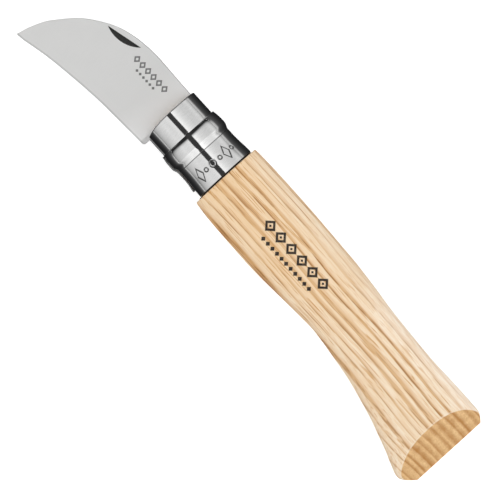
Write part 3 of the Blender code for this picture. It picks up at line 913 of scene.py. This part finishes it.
def tang_outline(edge_y):
    """The tang's back and its underside, from the collar's rim to the round end, as two lines.

    The back has a notch that lets the closed blade pass the ring, and the underside starts at the
    heel. Lines that lie along the collar or the ring when the blade is closed are turned open.
    """
    sine, cosine = math.sin(FOLD_ANGLE), -math.cos(FOLD_ANGLE)
    waist = float(collar_radius(COLLAR_FRONT + COLLAR_LENGTH * COLLAR_NARROWS[1]))
    wall_x = RING_FRONT + RING_LENGTH + TANG_GAP
    floor_y = -reach_inside(waist + RING_GAP)
    closed_y = reach_inside(waist - SHEET)
    flush_y = -reach_inside(COLLAR_RADIUS)
    drop = TANG_DROP_SHARE * TANG_END_RADIUS
    heel = COLLAR_FRONT + HEEL_LENGTH
    back = [
        (COLLAR_FRONT, SEAT_Y),
        open_place(wall_x, -(SEAT_Y + wall_x * sine) / cosine),
        open_place(wall_x, floor_y),
        open_place((-floor_y * cosine - SEAT_Y) / sine, floor_y),
        (-drop, SEAT_Y),
        (drop, closed_y - TANG_GAP),
    ]
    turn = np.linspace(0, math.pi / 2, HEEL_POINTS)
    under = [(COLLAR_FRONT, edge_y)]
    under += [
        (heel - HEEL_ROUND * (1 - math.sin(a)), edge_y + HEEL_ROUND * (1 - math.cos(a))) for a in turn
    ]
    under += [(heel, flush_y), ((closed_y + flush_y * cosine) / sine, flush_y)]
    under += [(x, -(closed_y - x * sine) / cosine) for x in (-drop, drop)]
    end = [(math.cos(a), math.sin(a)) for a in np.radians(TANG_END_ANGLES)]
    back += [(TANG_END_RADIUS * out, TANG_END_RADIUS * up) for out, up in end]
    under += [(TANG_END_RADIUS * out, -TANG_END_RADIUS * up) for out, up in end]
    return back, under


def even_line(points, count):
    """Evenly spaced points along a broken line."""
    line = np.array(points)
    steps = np.concatenate([[0], np.cumsum(np.hypot(*np.diff(line, axis=0).T))])
    places = np.linspace(0, steps[-1], count)
    return np.column_stack([np.interp(places, steps, each) for each in line.T])


def softened(line, spread):
    """Evenly spaced values averaged over their neighbours on both sides, with the ends held."""
    weights = np.hanning(2 * spread + 3)[1:-1]
    before = 2 * line[0] - line[spread:0:-1]
    after = 2 * line[-1] - line[-2 : -spread - 2 : -1]
    return np.convolve(np.concatenate([before, line, after]), weights / weights.sum(), "valid")


def blade_line(rows, shares):
    """The back or the edge: its table read evenly, smoothed, and read again at these shares."""
    even = np.linspace(0, 1, LINE_POINTS)
    table = smooth_rows(rows, even)[:, 0]
    near_tip = np.clip((even - NEAR_TIP[0]) / (NEAR_TIP[1] - NEAR_TIP[0]), 0, 1)
    line = softened(table, SMOOTHING) * (1 - near_tip) + softened(table, TIP_SMOOTHING) * near_tip
    heights = np.interp(shares, even, line)
    return np.column_stack([COLLAR_FRONT - shares * BLADE_LENGTH, TIP_Y + heights * BLADE_HEIGHT])


def blade_skins():
    """The blade's two faces over its middle plane, from tip to tang and from edge to back.

    A point lies at a share of the way from the underside to the back. The half thickness rises
    evenly from the edge to the sheet's own at the tallest place, falls steeper in the last half
    millimetre before the edge, and rounds over at the back. shade marks the ground bevel and back,
    where a dark reflection is painted.
    """
    shares = 1 - np.linspace(0, 1, BLADE_ROWS) ** TIP_POWER
    back, edge = blade_line(BACK_SHARES, shares), blade_line(EDGE_SHARES, shares)
    back[0, 1] = edge[0, 1] + 2 * HALF_EDGE
    tang_back, tang_under = tang_outline(edge[-1, 1])
    upper = np.concatenate([back, even_line(tang_back, TANG_ROWS)[1:]])
    lower = np.concatenate([edge, even_line(tang_under, TANG_ROWS)[1:]])
    ground = np.minimum(1, (upper - lower)[:, 1] / (back[-1, 1] - edge[-1, 1]))
    ground[BLADE_ROWS:] = 1
    blunt = np.clip((np.arange(len(lower)) - BLADE_ROWS) / TANG_BLUNT_ROWS, 0, 1)[:, None]
    low, high = ACROSS_EVEN
    crowd = np.linspace(0, 1, BORDER_POINTS) ** BORDER_POWER
    between = np.linspace(low, high, ACROSS_POINTS)[1:-1]
    share = np.concatenate([crowd * low, between, 1 - crowd[::-1] * (1 - high)])[None, :]
    middle = lower[:, None, :] * (1 - share[..., None]) + upper[:, None, :] * share[..., None]
    span = np.hypot(*(upper - lower).T)[:, None]
    low_half = HALF_EDGE + (HALF_BLADE - HALF_EDGE) * blunt
    high_half = HALF_EDGE + (HALF_BLADE - HALF_EDGE) * ground[:, None]
    half = low_half + (high_half - low_half) * share
    bevel = HALF_EDGE / 2 + (CUTTING_BEVEL_HALF - HALF_EDGE / 2) * share * span / CUTTING_BEVEL
    half = np.where(blunt > 0, half, np.minimum(half, bevel))
    from_back = (1 - share) * span
    taken_off = np.minimum(BACK_ROUND, half * BACK_ROUND_MOST)
    half = half - taken_off * (1 - quarter_round(from_back, BACK_ROUND))
    # Where a dark reflection is painted: the cutting bevel and the back, darker on the back near the
    # collar
    on_bevel = np.clip(BEVEL_FADE * (1 - share * span / CUTTING_BEVEL), 0, 1) * (1 - blunt)
    on_back = np.clip(BACK_FADE * (1 - from_back / BACK_ROUND), 0, 1)
    start, end = BACK_DARKENS
    darkness = np.clip((upper[:, :1] - start) / (end - start), BACK_SHADE, 1)
    return middle, half, np.maximum(BEVEL_SHADE * on_bevel, darkness * on_back)


def nick_tool():
    """The stamp for the nail nick: straight and deep along its upper side, fading below."""
    along, height = NICK_SHARES
    radius = NICK_LENGTH**2 / (8 * NICK_WIDTH) + NICK_WIDTH / 2
    turn = np.linspace(-1, 1, NICK_COLUMNS) * math.asin(NICK_LENGTH / 2 / radius)
    across = radius * np.sin(turn)
    below = radius * np.cos(turn) - (radius - NICK_WIDTH)
    sine, cosine = math.sin(NICK_SLANT), math.cos(NICK_SLANT)
    x = COLLAR_FRONT - along * BLADE_LENGTH + across * cosine + below * sine
    y = TIP_Y + height * BLADE_HEIGHT + across * sine - below * cosine
    depth = NICK_DEPTH + (NICK_STEP - NICK_DEPTH) * below / NICK_WIDTH
    floor = np.column_stack([x, y, HALF_BLADE * height - depth])
    top = np.column_stack([x, y, np.full(NICK_COLUMNS, 3 * HALF_BLADE)])
    hub = [loop.mean(axis=0) + np.zeros_like(loop) for loop in (floor, top)]
    rows = np.stack([hub[0], floor, top, hub[1]])
    return grid_piece("nick_stamp", [rows], CREASE, closed_across=True)


middle, half, shade = blade_skins()
faces = [np.concatenate([middle, side * half[..., None]], axis=2) for side in (1, -1)]
bands = [np.stack([faces[0][:, i], faces[1][:, i]], axis=1) for i in (0, -1)]
ends = [np.stack([faces[0][i], faces[1][i]], axis=1) for i in (0, -1)]
band_shades = [np.stack([shade[:, i]] * 2, axis=1) for i in (0, -1)]
end_shades = [np.stack([shade[i]] * 2, axis=1) for i in (0, -1)]
shades = [shade, shade, *band_shades, *end_shades]
blade = grid_piece("satin_blade", [*faces, *bands, *ends], BLADE_CREASE, shades=shades)

satin, shader, place = new_material("satin_steel", Metallic=0.58, IOR=1.45)
x, y, z = place.parts()
grind = place.scaled(7.0, 0.35, 2.0).noise(3.0, 0.65)
cloud = place.scaled(0.12, 0.12, 0.12).noise(2.0)
tone = (cloud * 0.5 + grind * 0.5).mix(*SATIN)
# Painted light: the satin grows brighter towards the collar, against the shade the collar casts on it
tone = x.rise(PAINTED_LIGHT_FROM, COLLAR_FRONT / MM).mix(tone, SATIN_PAINTED_LIGHT)
# The shade attribute paints a dark reflection along the cutting bevel and the back
painted_edge_reflection = place.node("ShaderNodeAttribute", {"attribute_name": "shade"}, {}, 2)
toned = (painted_edge_reflection * 0.85).mix(tone, EDGE_REFLECTION_GREY)
etched = lozenges(x, y, ETCHED_ROW, 1.0, 0.45) + lozenges(x, y, DOTTED_ROW, 0.8)
etch = etched * z.rise(0.0, 0.1)
feed(
    shader,
    Base_Color=(etch * 0.85).mix(toned, ETCH_GREY),
    Roughness=0.33 + 0.08 * grind + 0.15 * etch,
    Bump=0.0015 * grind,
)
# The nail nick is painted dark: a painted shade in its recess
stamped, shader, place = new_material("nick_shade_steel", Metallic=0.8, Roughness=0.45)
feed(shader, Base_Color=place.scaled(3.0, 3.0, 3.0).noise(2.0).mix(*NICK_SHADE_GREYS))
blade.data.materials.append(satin)
stamp = nick_tool()
stamp.data.materials.append(stamped)
cut(blade, stamp, BLADE_CREASE)
cut(blade, pin_drill(), BLADE_CREASE)
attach(blade, "blade")
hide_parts("blade")


# The rivet
# A plain steel pin through collar, neck and tang, with domed heads that lie under the lock ring.
# Its ends are hammered over, which holds collar, handle and blade together.

RIVET_GREYS = ((0.50, 0.50, 0.50), (0.64, 0.64, 0.63))

rivet_steel, shader, place = new_material("rivet_steel_finish", Metallic=1.0, Roughness=0.35)
turned = place.scaled(5.0, 5.0, 5.0).noise(2.0)
feed(shader, Base_Color=turned.mix(*RIVET_GREYS))
frame["nodes"]["pivot_pin"].material_slots[0].material = rivet_steel


# The table, the light and the camera
# A white table in a light tent that has a dark gap over the knife, for the camera, and a dark end
# towards the blade. Four lamps that reflections don't show add soft light. A mat that only
# reflections see lies under the knife, black beside it and grey far off.

TABLE_HALF = 3.0
TABLE_WHITE = 0.82
TABLE_GLOW = 0.54

# The camera looks straight down: its height over the knife's middle, the turn and the centre of its
# picture, and the width that the picture covers
CAMERA_HEIGHT = 0.80
KNIFE_HEIGHT = 0.0093
IMAGE_TURN = math.radians(47.75)
IMAGE_CENTRE = (0.00394, -0.00332)
VIEW_WIDTH = 0.1152

# Each lamp's place and power
LAMPS = (
    ("spine_lamp", 0.0, 0.60, 0.32, 1.4),
    ("belly_lamp", 0.0, -0.60, 0.32, 1.5),
    ("tip_lamp", -0.60, 0.0, 0.40, 1.5),
    ("top_lamp", 0.0, 0.0, 1.0, 1.1),
)
LAMP_SIZE = 0.5

MAT_HALF = 1.5
MAT_HEIGHT = 0.0002

# The mat's greys: beside the knife, in a strip along the belly that lights the sleeves' outline, at
# the end of the near stretch, and far off
MAT_BLACK = (0.014, 0.014, 0.015)
MAT_STRIP_GREY = (0.22, 0.22, 0.22)
MAT_NEAR_GREY = (0.085, 0.085, 0.086)
MAT_FAR_GREY = (0.62, 0.62, 0.62)

# Where they lie, in millimetres across the knife. On the belly's side a distance counts for a share
# of itself only, apart from the strip's
MAT_STRIP = (12.5, 18.0)
MAT_STRIP_SOFT = 1.0
MAT_NEAR = (8, 55)
MAT_FAR = (42, 150)
MAT_BELLY_SHARE = 0.55

# The slopes, from straight across the knife towards the blade, between which the far grey ends
MAT_DARK_END = (0.08, 0.28)

# The dark gap over the knife: its angles across the knife from straight up, and its brightness
GAP_ANGLES = (-10.9, 6.7)
GAP_SOFT = 0.6
GAP_LEVEL = 0.045

# Across the knife, from the belly's side to the spine's: angle from straight up, and brightness
TENT_ACROSS = (
    (-90, 0.58),
    (-77, 0.62),
    (-60, 0.76),
    (-44, 0.88),
    (-29, 0.84),
    (-14, 0.92),
    (0, 1.05),
    (7, 1.15),
    (14, 1.08),
    (22, 0.93),
    (29, 0.85),
    (44, 0.75),
    (60, 0.72),
    (77, 0.84),
    (90, 0.78),
)

# Along the knife, from straight towards the blade to straight towards the butt
TENT_ALONG = (
    (-1.0, 1.0),
    (0.12, 1.0),
    (0.28, 1.25),
    (1.0, 1.25),
)
TENT_MOST = 1.25

# The dark end towards the blade: how far its border lies along the knife and, in degrees, across it,
# the power of each, the distances between which it sets in, and how dark it is
DARK_END = (0.33, 95)
DARK_END_POWERS = (3, 6)
DARK_END_BORDER = (0.15, 1.25)
DARK_END_DEPTH = 0.97

# Its faint glow low down: how far towards the blade a direction points where it sets in, how high
# where it ends, and its brightness
GLOW_FROM = (0.40, 0.65)
GLOW_UP_TO = (0.35, 0.60)
GLOW_LEVEL = 0.32


def flat_piece(name, half, height):
    """A square about the origin at a height."""
    corners = [(-half, -half, height), (half, -half, height), (half, half, height), (-half, half, height)]
    mesh = bpy.data.meshes.new(name)
    mesh.from_pydata(corners, [], [(0, 1, 2, 3)])
    piece = bpy.data.objects.new(name, mesh)
    bpy.context.scene.collection.objects.link(piece)
    return piece


def glowing_material(name, shade, roughness):
    """A grey material without gloss whose own glow is fed in as its emission colour."""
    colour = (shade, shade, shade, 1)
    material, shader, place = new_material(name, Base_Color=colour, Roughness=roughness)
    shader.inputs["Emission Strength"].default_value = 1.0
    shader.inputs["Specular IOR Level"].default_value = 0.0
    return material, shader, place


table = flat_piece("table", TABLE_HALF, 0)
white, shader, place = glowing_material("white_table", TABLE_WHITE, 0.9)
rays = place.node("ShaderNodeLightPath", {}, {}).socket.node.outputs
seen = Link(place.tree, rays["Is Camera Ray"])
for ray in ("Is Glossy Ray", "Is Transmission Ray"):
    seen = seen.most(Link(place.tree, rays[ray]))
feed(shader, Emission_Color=seen.mix((0, 0, 0), (TABLE_GLOW,) * 3))
table.data.materials.append(white)

mat = flat_piece("dark_mat", MAT_HALF, MAT_HEIGHT)
black, shader, place = glowing_material("black_mat", 0, 1.0)
x, y, _ = place.parts()
out = y.most(-MAT_BELLY_SHARE * y)
fade = out.rise(*MAT_FAR) * (1 - (-x / (y.size() + 1)).rise(*MAT_DARK_END))
near_grey = out.rise(*MAT_NEAR).mix(MAT_BLACK, MAT_NEAR_GREY)
lit_grey = (-y).band(*MAT_STRIP, MAT_STRIP_SOFT).mix(near_grey, MAT_STRIP_GREY)
feed(shader, Emission_Color=fade.mix(lit_grey, MAT_FAR_GREY))
mat.data.materials.append(black)
mat.visible_camera = False
mat.visible_diffuse = False
mat.visible_shadow = False
mat.visible_transmission = False

world = bpy.data.worlds.new("light_tent")
bpy.context.scene.world = world
world.use_nodes = True
direction = Link(world.node_tree).node("ShaderNodeTexCoord", {}, {}, 0)
dx, dy, dz = direction.parts()
side_angle = dy.math("ARCTAN2", dy, dz) * (180 / math.pi)
across = side_angle / 180 + 0.5
in_gap = side_angle.band(*GAP_ANGLES, GAP_SOFT)
across_stops = [((angle + 90) / 180, (level / TENT_MOST,) * 3) for angle, level in TENT_ACROSS]
along_stops = [((place + 1) / 2, (level / TENT_MOST,) * 3) for place, level in TENT_ALONG]
panels = across.node("ShaderNodeValToRGB", {"stops": across_stops}, {"Fac": across})
along = across.node("ShaderNodeValToRGB", {"stops": along_stops}, {"Fac": dx * 0.5 + 0.5})
end_along = ((-dx).most(0.0) / DARK_END[0]) ** DARK_END_POWERS[0]
to_end = end_along + (side_angle.size() / DARK_END[1]) ** DARK_END_POWERS[1]
is_open = 1 - DARK_END_DEPTH * to_end.rise(*DARK_END_BORDER)
far_glow = (-dx).rise(*GLOW_FROM) * (1 - dz.rise(*GLOW_UP_TO)) * GLOW_LEVEL
tent = panels * along * is_open.most(far_glow) * TENT_MOST**2
background = world.node_tree.nodes["Background"]
background.inputs["Color"].default_value = (1, 1, 1, 1)
strength = tent * (1 - in_gap) + in_gap * GAP_LEVEL
world.node_tree.links.new(strength.socket, background.inputs["Strength"])

for name, lamp_x, lamp_y, lamp_z, power in LAMPS:
    lamp = bpy.data.objects.new(name, bpy.data.lights.new(name, "AREA"))
    lamp.data.size = LAMP_SIZE
    lamp.data.energy = power
    lamp.location = (lamp_x, lamp_y, lamp_z)
    lamp.rotation_euler = (-math.atan2(lamp_y, lamp_z), math.atan2(lamp_x, lamp_z), 0)
    lamp.visible_glossy = False
    bpy.context.scene.collection.objects.link(lamp)

camera = bpy.data.objects.new("camera", bpy.data.cameras.new("camera"))
camera.location = (*IMAGE_CENTRE, CAMERA_HEIGHT + KNIFE_HEIGHT)
camera.rotation_euler = (0, 0, IMAGE_TURN)
camera.data.lens = camera.data.sensor_width * CAMERA_HEIGHT / VIEW_WIDTH
camera.data.clip_start = 0.01
bpy.context.scene.collection.objects.link(camera)
bpy.context.scene.camera = camera
bpy.context.scene.view_settings.view_transform = "Standard"
